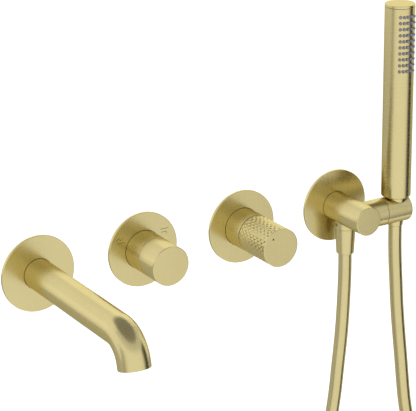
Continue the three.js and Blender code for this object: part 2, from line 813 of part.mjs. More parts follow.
function addCap(place) {
  const { radius, capThickness, capSpigot } = HAND;
  const { grooveDepth, grooveHalf } = CAP_SEAL;
  const inside = BARREL_BORE - GAP;
  const sealGroove = inside - grooveDepth;
  const capBase = HAND_TOP - capThickness;
  const sealHeight = capBase - capSpigot / 2;
  add(
    'shower_cap',
    upright([
      [0, capBase - capSpigot],
      [inside, capBase - capSpigot],
      [inside, sealHeight - grooveHalf],
      [sealGroove, sealHeight - grooveHalf],
      [sealGroove, sealHeight + grooveHalf],
      [inside, sealHeight + grooveHalf],
      [inside, capBase],
      [radius, capBase],
      [radius, HAND_TOP - GAP],
      [radius - GAP, HAND_TOP],
      [0, HAND_TOP],
    ]),
    GOLD,
    place,
  );
  const sealSection = (inside - sealGroove - GAP) / 2;
  const sealCentre = sealGroove + GAP + sealSection;
  add('shower_cap_seal', upright(torus(sealCentre, sealSection, sealHeight)), RUBBER, place);
}

// The threaded inlet that the hose's cone screws onto, with its flange inside the barrel,
// the flow limiter in it and the waterway that leads from it to the nozzles.
function addInlet(place) {
  const { threadRadius, start, flange, tail, tailGap } = INLET;
  const tailRadius = WATERWAY_BORE - tailGap;
  const flangeLow = BARREL_BOTTOM + HAND.floor + GAP;
  const flangeTop = BARREL_BOTTOM + HAND.floor + flange;
  const bottom = CONE.floor + start;
  add(
    'shower_inlet_connector',
    upright([
      [PASSAGE, bottom],
      [threadRadius, bottom],
      [threadRadius, flangeLow],
      [BARREL_BORE - GAP, flangeLow],
      [BARREL_BORE - GAP, flangeTop],
      [tailRadius, flangeTop],
      [tailRadius, flangeTop + tail],
      [PASSAGE, flangeTop + tail],
    ]),
    BRASS,
    place,
  );
  const limiterLow = bottom + LIMITER.start;
  const limiter = tube(LIMITER.hole, PASSAGE - GAP, limiterLow, limiterLow + LIMITER.length);
  add('shower_flow_limiter', upright(limiter), PLASTIC, place);

  const { end, topGap } = WATERWAY;
  const waterwayTop = HAND_TOP - HAND.capThickness - HAND.capSpigot - topGap;
  add(
    'shower_waterway',
    upright([
      [WATERWAY_BORE, flangeTop + GAP],
      [WATERWAY_RADIUS, flangeTop + GAP],
      [WATERWAY_RADIUS, waterwayTop],
      [0, waterwayTop],
      [0, waterwayTop - end],
      [WATERWAY_BORE, waterwayTop - end],
    ]),
    PLASTIC,
    place,
  );
}

function addHandShower() {
  const place = placed(OUTLET_X + HAND.x, -ARM.out);
  addBarrel(place);
  addNozzleMat(place);
  addCap(place);
  addInlet(place);
}

addSpout();
addControl('diverter', DIVERTER_X, DIVERTER_FACE, false);
addControl('mixer', MIXER_X, MIXER_FACE, true);
addOutlet();
addHolder();
addOutletHoseEnd();
addHose();
addShowerHoseEnd();
addHandShower();

export default group;
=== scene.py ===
"""Looks of the wall mounted bath faucet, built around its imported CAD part.

Metres, +Z up. The finished wall is the plane y = 0 and the room is at -Y. The four pieces
stand in one row along +X, and the mixer's axis is at x = 0. "Out" means the distance from
the wall into the room, which is -y.
"""

import json
from math import cos, pi, radians, sin, sqrt, tan

import bmesh
import bpy
from mathutils import Matrix, Vector

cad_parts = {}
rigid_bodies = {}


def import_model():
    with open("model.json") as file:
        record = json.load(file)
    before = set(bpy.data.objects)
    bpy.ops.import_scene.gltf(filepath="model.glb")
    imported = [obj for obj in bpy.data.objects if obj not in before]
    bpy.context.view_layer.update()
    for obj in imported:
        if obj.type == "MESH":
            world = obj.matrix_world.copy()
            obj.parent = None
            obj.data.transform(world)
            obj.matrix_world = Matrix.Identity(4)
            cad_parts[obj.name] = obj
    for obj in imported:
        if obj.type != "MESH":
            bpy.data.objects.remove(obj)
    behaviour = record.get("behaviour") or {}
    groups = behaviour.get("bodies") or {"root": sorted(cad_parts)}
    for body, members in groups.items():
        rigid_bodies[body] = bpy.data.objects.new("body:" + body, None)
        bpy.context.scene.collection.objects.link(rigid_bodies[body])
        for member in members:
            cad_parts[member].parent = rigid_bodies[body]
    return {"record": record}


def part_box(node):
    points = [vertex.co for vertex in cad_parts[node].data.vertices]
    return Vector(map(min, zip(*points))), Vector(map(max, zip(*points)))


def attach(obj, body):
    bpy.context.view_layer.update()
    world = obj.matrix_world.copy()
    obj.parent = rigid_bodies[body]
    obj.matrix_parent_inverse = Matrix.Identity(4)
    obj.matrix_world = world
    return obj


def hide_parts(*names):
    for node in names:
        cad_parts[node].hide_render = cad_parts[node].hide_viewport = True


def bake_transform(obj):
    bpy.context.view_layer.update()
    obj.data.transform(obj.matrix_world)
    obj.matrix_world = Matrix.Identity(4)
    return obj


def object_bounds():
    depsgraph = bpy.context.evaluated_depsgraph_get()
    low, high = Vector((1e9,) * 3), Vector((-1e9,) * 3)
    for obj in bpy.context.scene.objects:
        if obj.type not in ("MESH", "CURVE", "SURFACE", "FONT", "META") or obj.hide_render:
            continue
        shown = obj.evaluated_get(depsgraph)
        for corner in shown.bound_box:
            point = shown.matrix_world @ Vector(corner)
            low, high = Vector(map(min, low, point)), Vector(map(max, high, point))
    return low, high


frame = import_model()
CAD_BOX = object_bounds()

MM = 0.001


class Box:
    """A CAD node's box at rest."""

    def __init__(self, node):
        low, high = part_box(node)
        self.low, self.high = Vector(low), Vector(high)
        self.middle = (self.low + self.high) / 2
        self.half = (self.high - self.low) / 2


# ---- Driving dimensions that the frame's boxes don't give ----

SIDES = 96  # of a large turned piece
KNOB_SIDES = 128
ROSETTE_SIDES = 160
SMALL_SIDES = 64
BORE_SIDES = 48
HOLE_SIDES = 32
FINE_SIDES = 12  # of a nozzle, and of a hole in the aerator's grid

SOFT_EDGE = 0.35 * MM  # the small rounding that a turned edge keeps
SLIGHT_EDGE = 0.3 * MM
JOINT_EDGE = 0.15 * MM  # beside a fine joint line
FACE_EDGE = 0.7 * MM  # round a smooth knob's face and the outlet's
GAP = 0.3 * MM
PAST = 1 * MM  # how far a cutter runs past the face that it opens

ROSETTE_GAP = 0.25 * MM
ROSETTE_EDGE = 0.6 * MM
SEAL_PLAY = 0.05 * MM  # from the foam seal to the tube in it
SEAL_ROOM = 0.1 * MM  # and from its front to the rosette's recess

THREAD_PITCH = 1.8 * MM
THREAD_DEPTH = 1.0 * MM
THREAD_CREST = (0.4, 0.6)  # where a ridge's flat top starts and ends, in pitches
PIPE_THREAD = 10.4 * MM
PIPE_BORE = 7.2 * MM
PIPE_SHOULDER = -3 * MM  # where an inlet's full size starts, just behind the wall
PIPE_RUNOUT = 2 * MM  # from the thread's end to that shoulder

SPOUT_BEND_RADIUS = 29 * MM
SPOUT_BEND_ANGLE = radians(76.3)
SPOUT_BEND_LENGTH = SPOUT_BEND_RADIUS * SPOUT_BEND_ANGLE
SPOUT_BEND_STEPS = 28
SPOUT_TAIL = 6.5 * MM
SPOUT_WALL = 1.5 * MM
SPOUT_LIP_EDGE = 0.5 * MM
SCREW_GROOVE = (3 * MM, 4 * MM)  # a groove's depth and half its width
SPOUT_RING_GROOVE = (2.6 * MM, 1.8 * MM)

AERATOR_INSET = 0.8 * MM
AERATOR_DEPTH = 4.4 * MM
AERATOR_WALL = 2 * MM
GRID_INSET = 1 * MM  # behind the housing's front
GRID_THICKNESS = 3 * MM
GRID_RINGS = 3  # a hole in the middle, and circles of 6 and 12 round it
GRID_PITCH = 3.8 * MM
GRID_HOLE = 1.2 * MM

SLEEVE_WALL = 2.5 * MM
VALVE_WALL = 2.7 * MM
VALVE_INLET = 5 * MM
VALVE_FLOOR = 12 * MM  # this and the next two are measured from the valve's back
VALVE_THREAD = (1 * MM, 13 * MM)
VALVE_SHOULDER = 15 * MM
VALVE_THREAD_DEPTH = 0.8 * MM
VALVE_GROOVE = (0.7 * MM, 1.2 * MM)

HANDLE_WALL = 2.6 * MM
KNURL_COLUMNS = 24
KNURL_ROWS = 7
KNURL_DEPTH = 0.45 * MM
KNURL_COLLAR = 0.8 * MM
KNURL_RIM = 0.9 * MM
KNURL_FACE = [(0.25, 0.75), (0.1, 0.4), (0.4, 0.1), (0.8, 0)]  # mm in from the radius and the face
INDEX_DEPTH = 0.9 * MM
INDEX_EDGE = 0.2 * MM
WELL_PLAY = 0.15 * MM
WELL_DEPTH = 1 * MM

NECK_OUT = 22.6 * MM
NECK_RADIUS = 11.8 * MM
STUB_RADIUS = 9.2 * MM
WATERWAY_RADIUS = 7.5 * MM
WATERWAY_END = 30 * MM
SCREW_HOLE_START = 3 * MM  # outside the neck
ARM_OUT = 47 * MM
ARM_END = 29.6 * MM
CUP_RIM = 0.5 * MM  # the thickness of the rim that stands towards the arm
CUP_EDGE = 1.5 * MM
CUP_PLAY = 0.35 * MM
CUP_HOLE_REACH = 2 * MM

NUT_BORE = 5.8 * MM
CONE_NARROW = 8.1 * MM
# Each nut's radius below, lower and upper edge, and its socket's radius and floor height.
OUTLET_NUT = (9.5 * MM, 1.1 * MM, SOFT_EDGE, 9.5 * MM, -32.4 * MM)
SHOWER_CONE = (CONE_NARROW, 0.4 * MM, 0.2 * MM, 8.8 * MM, 2 * MM)

BARREL_WALL = 1.8 * MM
BARREL_FLOOR = 2.2 * MM
BARREL_INLET = 8.8 * MM
BARREL_CHAMFER = 2 * MM
BARREL_ROUNDING = [(0.15, 1.4), (0.6, 0.6), (1.4, 0.15)]  # mm in from the radius, up from the end
CAP_HEIGHT = 2.6 * MM
CAP_EDGE = 0.45 * MM
CAP_GROOVE = (1.9 * MM, 1.3 * MM)

NOZZLE_ROWS = 10
NOZZLE_COLUMNS = 5
NOZZLE_PITCH = 6.47 * MM
NOZZLE_BELOW_TOP = 11.47 * MM
NOZZLE_ANGLE = radians(14.25)
NOZZLE_FACING = radians(-5.5)
NOZZLE_HOLE = 1.75 * MM
NOZZLE_RADIUS = 1.65 * MM  # at its root
NOZZLE_TIP = 1.35 * MM
NOZZLE_TIP_EDGE = 0.5 * MM
NOZZLE_JET = 0.32 * MM
NOZZLE_JET_DEPTH = 0.8 * MM
NOZZLE_REACH = 2.5 * MM  # past the barrel
NOZZLE_ROOT = 1.2 * MM  # behind the barrel's wall
SHEET_THICKNESS = 1.9 * MM
SHEET_MARGIN = 0.14  # radians past the nozzles on each side
SHEET_STEPS = 24
HOLE_START = radians(225)  # the corner that a patch's edge starts from
CELLS = 4  # the wall's mesh cells along each side of a nozzle's patch
CELLS_BELOW = 8  # rows under and over the nozzles, and columns round the rest of the wall
CELLS_ABOVE = 2
CELLS_ROUND = 76

SIGN_WIDTH = 0.6 * MM
SIGN_HEIGHT = 0.05 * MM
SIGN_SUNK = 0.02 * MM  # how much of that is in the rosette

# The diverter's signs, jets on the left and a spout on the right, in mm right of its axis and up.
SIGNS = [
    [(-31, 15.6), (-28.4, 18.2), (-26.6, 15.4), (-23.2, 17.6)],
    [(-30, 12.6), (-22, 12.6)],
    [(20.4, 18), (30, 18)],
    [(21, 14.6), (27.6, 14.6), (27.6, 11.8)],
]

# The hose's route, from the outlet's nut round its loop to the hand shower's nut.
HOSE_ROUTE = [
    (0.12, -0.0226, -0.0488),
    (0.12, -0.0226, -0.07),
    (0.1194, -0.0225, -0.093),
    (0.1171, -0.0221, -0.139),
    (0.1129, -0.0214, -0.184),
    (0.1097, -0.0206, -0.218),
    (0.1026, -0.0198, -0.26),
    (0.086, -0.019, -0.32),
    (0.065, -0.0186, -0.378),
    (0.0485, -0.0186, -0.425),
    (0.041, -0.0195, -0.466),
    (0.048, -0.0216, -0.506),
    (0.074, -0.026, -0.542),
    (0.108, -0.0315, -0.56),
    (0.14, -0.0365, -0.564),
    (0.172, -0.0415, -0.56),
    (0.206, -0.0475, -0.542),
    (0.232, -0.0525, -0.506),
    (0.24, -0.0552, -0.466),
    (0.235, -0.0562, -0.425),
    (0.219, -0.056, -0.378),
    (0.202, -0.0544, -0.32),
    (0.1892, -0.0522, -0.26),
    (0.1842, -0.051, -0.231),
    (0.1786, -0.0493, -0.174),
    (0.1753, -0.0483, -0.14),
    (0.1726, -0.0476, -0.107),
    (0.1712, -0.0472, -0.082),
    (0.1698, -0.047, -0.06),
    (0.1689, -0.047, -0.04),
    (0.1686, -0.047, -0.0185),
]
HOSE_RISE = 21  # route point where the loop, fixed to the wall, meets the riser
HOSE_SPLIT = 26  # and where the riser meets the short lead
HOSE_STEPS = 8  # mesh rings from one route point to the next
HOSE_SIDES = 32
HOSE_RADIUS = 7.3 * MM

# ---- Camera ----

CAMERA_AZIMUTH = radians(-31.35)
CAMERA_ELEVATION = radians(20.05)
CAMERA_ROLL = radians(-0.75)
CAMERA_AIM = Vector((-0.0616, -0.0356, 0.0462))
CAMERA_DISTANCE = 1.928
CAMERA_LENS = 163.9
CAMERA_RANGE = (0.05, 50)


def add_camera():
    azimuth, elevation = CAMERA_AZIMUTH, CAMERA_ELEVATION
    right = Vector((cos(azimuth), sin(azimuth), 0))
    back = Vector((right.y * cos(elevation), -right.x * cos(elevation), sin(elevation)))
    facing = Matrix((right, back.cross(right), back)).transposed()
    rolled = facing @ Matrix.Rotation(CAMERA_ROLL, 3, "Z")
    data = bpy.data.cameras.new("camera")
    data.lens = CAMERA_LENS
    data.clip_start, data.clip_end = CAMERA_RANGE
    camera = bpy.data.objects.new("camera", data)
    camera.matrix_world = Matrix.Translation(CAMERA_AIM + CAMERA_DISTANCE * back) @ rolled.to_4x4()
    bpy.context.collection.objects.link(camera)
    bpy.context.scene.camera = camera


# ---- Materials ----


class Shader:
    """A new material with a Principled shader, and short ways to add nodes to it."""

    def __init__(self, name):
        self.material = bpy.data.materials.new(name)
        self.material.use_nodes = True
        self.tree = self.material.node_tree
        self.base = self.tree.nodes["Principled BSDF"]

    def node(self, kind, **values):
        node = self.tree.nodes.new(kind)
        for key, value in values.items():
            if key in node.inputs:
                node.inputs[key].default_value = value
            else:
                setattr(node, key, value)
        return node

    def link(self, source, target):
        self.tree.links.new(source, target)

    def noise(self, scale, detail=2.0):
        """Noise in object space. The scale is one number, or one for each axis, per metre."""
        place = self.node("ShaderNodeTexCoord").outputs["Object"]
        if not isinstance(scale, (int, float)):
            mapping = self.node("ShaderNodeMapping")
            mapping.inputs["Scale"].default_value = scale
            self.link(place, mapping.inputs["Vector"])
            place, scale = mapping.outputs["Vector"], 1.0
        noise = self.node("ShaderNodeTexNoise", Scale=scale, Detail=detail)
        self.link(place, noise.inputs["Vector"])
        return noise.outputs["Fac"]

    def colour(self, fac, low, high):
        """The base colour runs from low to high with fac."""
        ramp = self.node("ShaderNodeValToRGB")
        for element, position, tone in zip(ramp.color_ramp.elements, NOISE_SPAN, (low, high)):
            element.position = position
            element.color = (*tone, 1)
        self.link(fac, ramp.inputs["Fac"])
        self.link(ramp.outputs["Color"], self.base.inputs["Base Color"])

    def roughness(self, fac, low, high):
        span = self.node("ShaderNodeMapRange")
        for name, value in zip(("From Min", "From Max", "To Min", "To Max"), (*NOISE_SPAN, low, high)):
            span.inputs[name].default_value = value
        self.link(fac, span.inputs["Value"])
        self.link(span.outputs["Result"], self.base.inputs["Roughness"])

    def bump(self, fac, depth, strength):
        bump = self.node("ShaderNodeBump", Strength=strength, Distance=depth)
        self.link(fac, bump.inputs["Height"])
        self.link(bump.outputs["Normal"], self.base.inputs["Normal"])


def scaled(colour, factor):
    return tuple(factor * part for part in colour)


NOISE_SPAN = (0.35, 0.65)  # the values that nearly all of a noise lies between
GOLD_COLOUR = (0.615, 0.53, 0.262)
GOLD_EDGE_TINT = (0.78, 0.72, 0.5)
GOLD_ROUGHNESS = (0.235, 0.275)
GOLD_CLOUDS = 14  # faint changes of colour per metre
GRAIN_FINE = 7000  # brush lines per metre, across them
GRAIN_COARSE = 45  # and along them
GRAIN_DEPTH = 0.01 * MM
GRAIN_STRENGTH = 0.05


def brushed_gold(name, across):
    """Pale gold with fine brush lines. across is the axis that runs across the lines."""
    shader = Shader(name)
    scale = [GRAIN_FINE if axis in across else GRAIN_COARSE for axis in "xyz"]
    lines = shader.noise(scale)
    shader.base.inputs["Metallic"].default_value = 1
    shader.base.inputs["Specular Tint"].default_value = (*GOLD_EDGE_TINT, 1)
    shader.colour(shader.noise(GOLD_CLOUDS), scaled(GOLD_COLOUR, 0.985), scaled(GOLD_COLOUR, 1.015))
    shader.roughness(lines, *GOLD_ROUGHNESS)
    shader.bump(lines, GRAIN_DEPTH, GRAIN_STRENGTH)
    return shader.material


def plain(name, colour, rough, scale, metallic=0, variation=0.06):
    """A finish without brush lines: noise of that scale varies its colour and roughness."""
    shader = Shader(name)
    shader.base.inputs["Metallic"].default_value = metallic
    fac = shader.noise(scale, 4)
    shader.colour(fac, scaled(colour, 1 - variation), scaled(colour, 1 + variation))
    shader.roughness(fac, rough * 0.85, rough * 1.15)
    shader.bump(fac, 0.02 * MM, 0.4)
    return shader.material


def hose_cover():
    """A smooth plastic cover over a metallic gold foil."""
    shader = Shader("hose_cover")
    shader.base.inputs["Metallic"].default_value = 1
    shader.base.inputs["Specular Tint"].default_value = (*GOLD_EDGE_TINT, 1)
    shader.base.inputs["Coat Weight"].default_value = 0.25
    shader.base.inputs["Coat Roughness"].default_value = 0.15
    shader.colour(shader.noise(25), scaled(GOLD_COLOUR, 0.95), scaled(GOLD_COLOUR, 0.99))
    grain = shader.noise(3000)
    shader.roughness(grain, 0.22, 0.26)
    shader.bump(grain, GRAIN_DEPTH, GRAIN_STRENGTH)
    return shader.material


GOLD_OUT = brushed_gold("gold_turned_out", "y")
GOLD_UP = brushed_gold("gold_turned_up", "z")
GOLD_SIDE = brushed_gold("gold_turned_sideways", "x")
GOLD_FLAT = brushed_gold("gold_flat", "x")
GOLD_ROUND = (GOLD_SIDE, GOLD_OUT, GOLD_UP)  # with their lines round x, y and z
HOSE = hose_cover()
BRASS = plain("brass", (0.56, 0.40, 0.16), metallic=1, rough=0.32, scale=(300, 2500, 300))
STEEL = plain("steel", (0.42, 0.42, 0.41), metallic=1, rough=0.3, scale=(300, 300, 2500))
RUBBER = plain("rubber", (0.022, 0.022, 0.024), rough=0.75, scale=900, variation=0.2)
SILICONE = plain("silicone", (0.165, 0.168, 0.21), rough=0.42, scale=700, variation=0.08)
PLASTIC = plain("white_plastic", (0.78, 0.78, 0.75), rough=0.45, scale=500, variation=0.03)
DARK_PLASTIC = plain("dark_plastic", (0.05, 0.05, 0.055), rough=0.4, scale=500, variation=0.1)
ENAMEL = plain("index_enamel", (0.05, 0.045, 0.03), rough=0.4, scale=900, variation=0.1)
ENGRAVED = plain("engraved", (0.26, 0.22, 0.10), metallic=1, rough=0.42, scale=1500, variation=0.1)

SLOT_MATERIALS = {
    "brushed_gold": GOLD_OUT,
    "hose_cover": HOSE,
    "raw_brass": BRASS,
    "stainless_steel": STEEL,
    "black_rubber": RUBBER,
    "grey_silicone": SILICONE,
    "white_plastic": PLASTIC,
    "dark_plastic": DARK_PLASTIC,
    "index_enamel": ENAMEL,
}


def dress_cad_nodes():
    """Every CAD node gets its slot's material, whether a piece replaces it later or not."""
    for part in frame["record"]["subparts"]:
        node = bpy.data.objects[part["node"]]
        material = SLOT_MATERIALS[part["material_slot"]]
        for slot in node.material_slots:
            slot.link = "OBJECT"
            slot.material = material


# ---- Mesh helpers ----

SHARP = radians(32)  # an edge that bends more than this is crisp
SHARP_BRASS = radians(20)
SHARP_KNURL = radians(12)
SHARP_NOZZLE = radians(40)
ON_AXIS = 1e-7  # a radius below this is a point on the axis
FLAT = 0.9  # a face this much in line with the axis has straight brush lines

# Each way a turned piece can point: (radius times cosine, radius times sine, height) to xyz.
OUT = Matrix(((1, 0, 0), (0, 0, -1), (0, 1, 0)))  # heights run to -Y
UP = Matrix(((1, 0, 0), (0, 1, 0), (0, 0, 1)))  # heights run to +Z
SIDE = Matrix(((0, 0, 1), (1, 0, 0), (0, 1, 0)))  # heights run to +X


def object_from(name, bm, *materials):
    mesh = bpy.data.meshes.new(name)
    bmesh.ops.recalc_face_normals(bm, faces=bm.faces)
    bm.to_mesh(mesh)
    bm.free()
    for material in materials:
        mesh.materials.append(material)
    piece = bpy.data.objects.new(name, mesh)
    bpy.context.collection.objects.link(piece)
    return piece


def shade(piece, sharp=SHARP):
    """Smooth shading with crisp edges, where large flat faces stay flat."""
    bm = bmesh.new()
    bm.from_mesh(piece.data)
    for face in bm.faces:
        face.smooth = True
    for edge in bm.edges:
        edge.smooth = len(edge.link_faces) == 2 and edge.calc_face_angle() < sharp
    bm.to_mesh(piece.data)
    bm.free()
    weighted = piece.modifiers.new("weighted", "WEIGHTED_NORMAL")
    weighted.keep_sharp = True
    apply_modifiers(piece)


def apply_modifiers(piece):
    bpy.context.view_layer.update()
    evaluated = piece.evaluated_get(bpy.context.evaluated_depsgraph_get())
    mesh = bpy.data.meshes.new_from_object(evaluated)
    piece.modifiers.clear()
    piece.data = mesh
    mesh.name = piece.name


def rounded(profile, steps=4):
    """Profile points (radius, height) or (radius, height, fillet), with the fillets as arcs."""
    points = [Vector(point[:2]) for point in profile]
    result = []
    for i, corner in enumerate(profile):
        fillet = corner[2] if len(corner) > 2 else 0
        here = points[i]
        if not fillet:
            result.append(here)
            continue
        before = (points[i - 1] - here).normalized()
        after = (points[(i + 1) % len(points)] - here).normalized()
        half = before.angle(after) / 2
        centre = here + (before + after).normalized() * fillet / sin(half)
        start = here + before * fillet / tan(half) - centre
        sweep = start.angle_signed(here + after * fillet / tan(half) - centre)
        for step in range(steps + 1):
            result.append(centre + start @ Matrix.Rotation(sweep * step / steps, 2))
    return result


def turns(count):
    """Angles evenly round a circle."""
    return [2 * pi * i / count for i in range(count)]


def ring_stack(bm, rings, closed):
    """Joins rings of vertices with quads. A ring of one vertex is a point on the axis."""
    pairs = list(zip(rings, rings[1:]))
    if closed:
        pairs.append((rings[-1], rings[0]))
    for one, other in pairs:
        count = max(len(one), len(other))
        for i in range(count):
            j = (i + 1) % count
            corners = [one[i % len(one)], one[j % len(one)], other[j % len(other)], other[i % len(other)]]
            corners = list(dict.fromkeys(corners))
            if len(corners) > 2:
                bm.faces.new(corners)


def turned(name, profile, place, way, material=None, sides=SIDES):
    """A turned piece about an axis through place. A profile off the axis is a closed ring.

    Without a material it is gold, brushed round its axis and straight on its flat faces.
    """
    points = rounded(profile)
    bm = bmesh.new()
    rings = []
    for radius, height in points:
        angles = turns(1 if radius < ON_AXIS else sides)
        local = [Vector((radius * cos(a), radius * sin(a), height)) for a in angles]
        rings.append([bm.verts.new(Vector(place) + way @ point) for point in local])
    ring_stack(bm, rings, closed=points[0][0] > ON_AXIS)
    axis = way.col[2]
    gold = GOLD_ROUND[max(range(3), key=lambda i: abs(axis[i]))]
    piece = object_from(name, bm, material or gold, GOLD_FLAT)
    if not material:
        for face in piece.data.polygons:
            face.material_index = int(abs(face.normal.dot(axis)) > FLAT)
    return piece


def cylinder(radius, low, high):
    return [(0, low), (radius, low), (radius, high), (0, high)]


def tube(inner, outer, low, high, edge=0.0):
    return [(inner, low, edge), (outer, low, edge), (outer, high, edge), (inner, high, edge)]


def hole(radius, low, high, place, way, sides=HOLE_SIDES):
    """A cutter for a round hole in gold."""
    return turned("hole", cylinder(radius, low, high), place, way, sides=sides)


def groove(outer, size, middle, place, way, material=None):
    """A cutter for a groove round a turned piece, of that depth and half width."""
    depth, half = size
    profile = tube(outer - depth, outer + PAST, middle - half, middle + half)
    return turned("groove", profile, place, way, material, SMALL_SIDES)


def combine(piece, others, operation="DIFFERENCE"):
    """Cuts other pieces from this one, or unites them with it, and removes them."""
    for other in others:
        boolean = piece.modifiers.new("boolean", "BOOLEAN")
        boolean.operation = operation
        boolean.object = other
        boolean.solver = "EXACT"
        apply_modifiers(piece)
        bpy.data.objects.remove(other)


def mount(piece, body, node, sharp=SHARP):
    """Shades the finished piece, which rides on a body in place of a CAD node."""
    shade(piece, sharp)
    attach(piece, body)
    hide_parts(node)


# ---- Hose ----


def smooth_route(points, steps):
    """A centripetal Catmull-Rom curve through the points, with that many steps between two."""
    points = [Vector(point) for point in points]
    points = [2 * points[0] - points[1], *points, 2 * points[-1] - points[-2]]
    result = []
    for before, start, end, after in zip(points, points[1:], points[2:], points[3:]):
        spans = [sqrt((b - a).length) for a, b in ((before, start), (start, end), (end, after))]
        leave = (start - before) / spans[0] - (end - before) / (spans[0] + spans[1])
        leave = (leave + (end - start) / spans[1]) * spans[1]
        arrive = (end - start) / spans[1] - (after - start) / (spans[1] + spans[2])
        arrive = (arrive + (after - end) / spans[2]) * spans[1]
        for step in range(steps):
            t = step / steps
            result.append(
                (2 * t**3 - 3 * t**2 + 1) * start
                + (t**3 - 2 * t**2 + t) * leave
                + (3 * t**2 - 2 * t**3) * end
                + (t**3 - t**2) * arrive
            )
    return [*result, points[-2]]


def hose_rings(path, first, last):
    """Circles across the path from one of its points to another, without twist."""
    across = Vector((0, 1, 0))
    rings = []
    for i, point in enumerate(path):
        along = (path[min(i + 1, len(path) - 1)] - path[max(i - 1, 0)]).normalized()
        across = (across - along * across.dot(along)).normalized()
        side = along.cross(across)
        if first <= i <= last:
            around = [cos(a) * across + sin(a) * side for a in turns(HOSE_SIDES)]
            rings.append([point + HOSE_RADIUS * way for way in around])
    return rings


def hose_piece(name, path, first, last):
    bm = bmesh.new()
    rings = [[bm.verts.new(point) for point in ring] for ring in hose_rings(path, first, last)]
    ring_stack(bm, rings, closed=False)
    for end in (rings[0], rings[-1]):
        bm.faces.new(end)
    piece = object_from(name, bm, HOSE)
    shade(piece)
    return piece


def add_hose():
    """The hose is three pieces on one line: the loop, which rides on the wall, then the riser and the lead,
    which ride on no body.

    Returns each piece with its centreline.
    """
    path = smooth_route(HOSE_ROUTE, HOSE_STEPS)
    rise, split = HOSE_RISE * HOSE_STEPS, HOSE_SPLIT * HOSE_STEPS
    loop = hose_piece("hose_loop_cover", path, 0, rise)
    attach(loop, "root")
    riser = hose_piece("hose_riser_cover", path, rise, split)
    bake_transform(riser)
    lead = hose_piece("hose_lead_cover", path, split, len(path) - 1)
    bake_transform(lead)
    for piece, node in ((loop, "hose_loop"), (riser, "hose_loop"), (lead, "hose_lead")):
        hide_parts(node)
    return (loop, path[: rise + 1]), (riser, path[rise : split + 1]), (lead, path[split:][::-1])


# ---- Rosettes and spout ----


def add_rosette(name, tube_radius):
    """The disc, and the foam seal behind it, which also closes the gap round the tube."""
    box, seal_box = Box(f"{name}_rosette"), Box(f"{name}_rosette_seal")
    radius, front = box.half.x, -box.low.y
    bore = tube_radius + ROSETTE_GAP
    seal_radius, seal_depth = seal_box.half.x, -seal_box.low.y
    recess = seal_depth + SEAL_ROOM
    place = (box.middle.x, 0, 0)
    profile = [
        (bore, recess),
        (seal_radius + GAP, recess),
        (seal_radius + GAP, 0),
        (radius, 0, SOFT_EDGE),
        (radius, front, ROSETTE_EDGE),
        (bore, front, JOINT_EDGE),
    ]
    rosette = turned(f"{name}_rosette_disc", profile, place, OUT, sides=ROSETTE_SIDES)
    mount(rosette, "root", f"{name}_rosette")
    foam = tube(tube_radius + SEAL_PLAY, seal_radius, 0, seal_depth, SLIGHT_EDGE)
    seal = turned(f"{name}_foam_seal", foam, place, OUT, RUBBER)
    mount(seal, "root", f"{name}_rosette_seal")


def thread(radius, low, high, depth=THREAD_DEPTH):
    """The outline of a thread's ridges from low to high."""
    count = int((high - low) / THREAD_PITCH)
    points = []
    for i in range(count):
        start = low + i * THREAD_PITCH
        points.append((radius - depth, start))
        points += [(radius, start + share * THREAD_PITCH) for share in THREAD_CREST]
    return [*points, (radius - depth, low + count * THREAD_PITCH)]


def spout_straight(box, radius):
    """The length from the wall to the bend, with the mouth's front edge at the box's end."""
    mouth = SPOUT_TAIL * cos(SPOUT_BEND_ANGLE) + radius * sin(SPOUT_BEND_ANGLE)
    return -box.low.y - mouth - SPOUT_BEND_RADIUS * sin(SPOUT_BEND_ANGLE)


def spout_point(length, box, radius):
    """A point on the spout's centreline at a length from the wall, and how far it has turned."""
    straight = spout_straight(box, radius)
    turn = min(max((length - straight) / SPOUT_BEND_LENGTH, 0), 1) * SPOUT_BEND_ANGLE
    before = min(length, straight)
    after = max(length - straight - SPOUT_BEND_LENGTH, 0)
    out = before + SPOUT_BEND_RADIUS * sin(turn) + after * cos(turn)
    drop = SPOUT_BEND_RADIUS * (1 - cos(turn)) + after * sin(turn)
    return Vector((box.middle.x, -out, -drop)), turn


def spout_pipe(stations, box, radius):
    """A closed wall through rings of the given size at the given length along the spout."""
    bm = bmesh.new()
    rings = []
    for size, length in stations:
        centre, turn = spout_point(length, box, radius)
        top = Vector((0, -sin(turn), cos(turn)))
        around = [Vector((cos(a), 0, 0)) + sin(a) * top for a in turns(SIDES)]
        rings.append([bm.verts.new(centre + size * across) for across in around])
    ring_stack(bm, rings, closed=True)
    return object_from("spout_pipe", bm, GOLD_OUT)


def add_spout():
    box, screw = Box("spout_tube"), Box("spout_grub_screw")
    radius = box.half.x
    bore = radius - SPOUT_WALL
    back = -box.high.y
    end = spout_straight(box, radius) + SPOUT_BEND_LENGTH + SPOUT_TAIL
    bend_end = end - SPOUT_TAIL
    bend_start = bend_end - SPOUT_BEND_LENGTH
    steps = SPOUT_BEND_STEPS
    bend = [bend_start + (bend_end - bend_start) * i / steps for i in range(steps + 1)]
    lip = [(radius, end, SPOUT_LIP_EDGE), (bore, end, SPOUT_LIP_EDGE), (bore, end - MM), (radius, end - MM)]
    # The lip's last two points only give its two roundings their directions.
    stations = [(radius, back), *((radius, length) for length in bend)]
    stations += [(point.x, point.y) for point in rounded(lip)[:-2]]
    stations += [(bore, length) for length in reversed(bend)] + [(bore, back)]
    spout = spout_pipe(stations, box, radius)
    place = (box.middle.x, screw.middle.y, 0)
    combine(spout, [hole(screw.half.x + GAP, -radius - PAST, -bore + PAST, place, UP)])
    mount(spout, "root", "spout_tube")
    add_spout_adapter(box.middle.x, bore - GAP)
    add_aerator(box, radius, end)


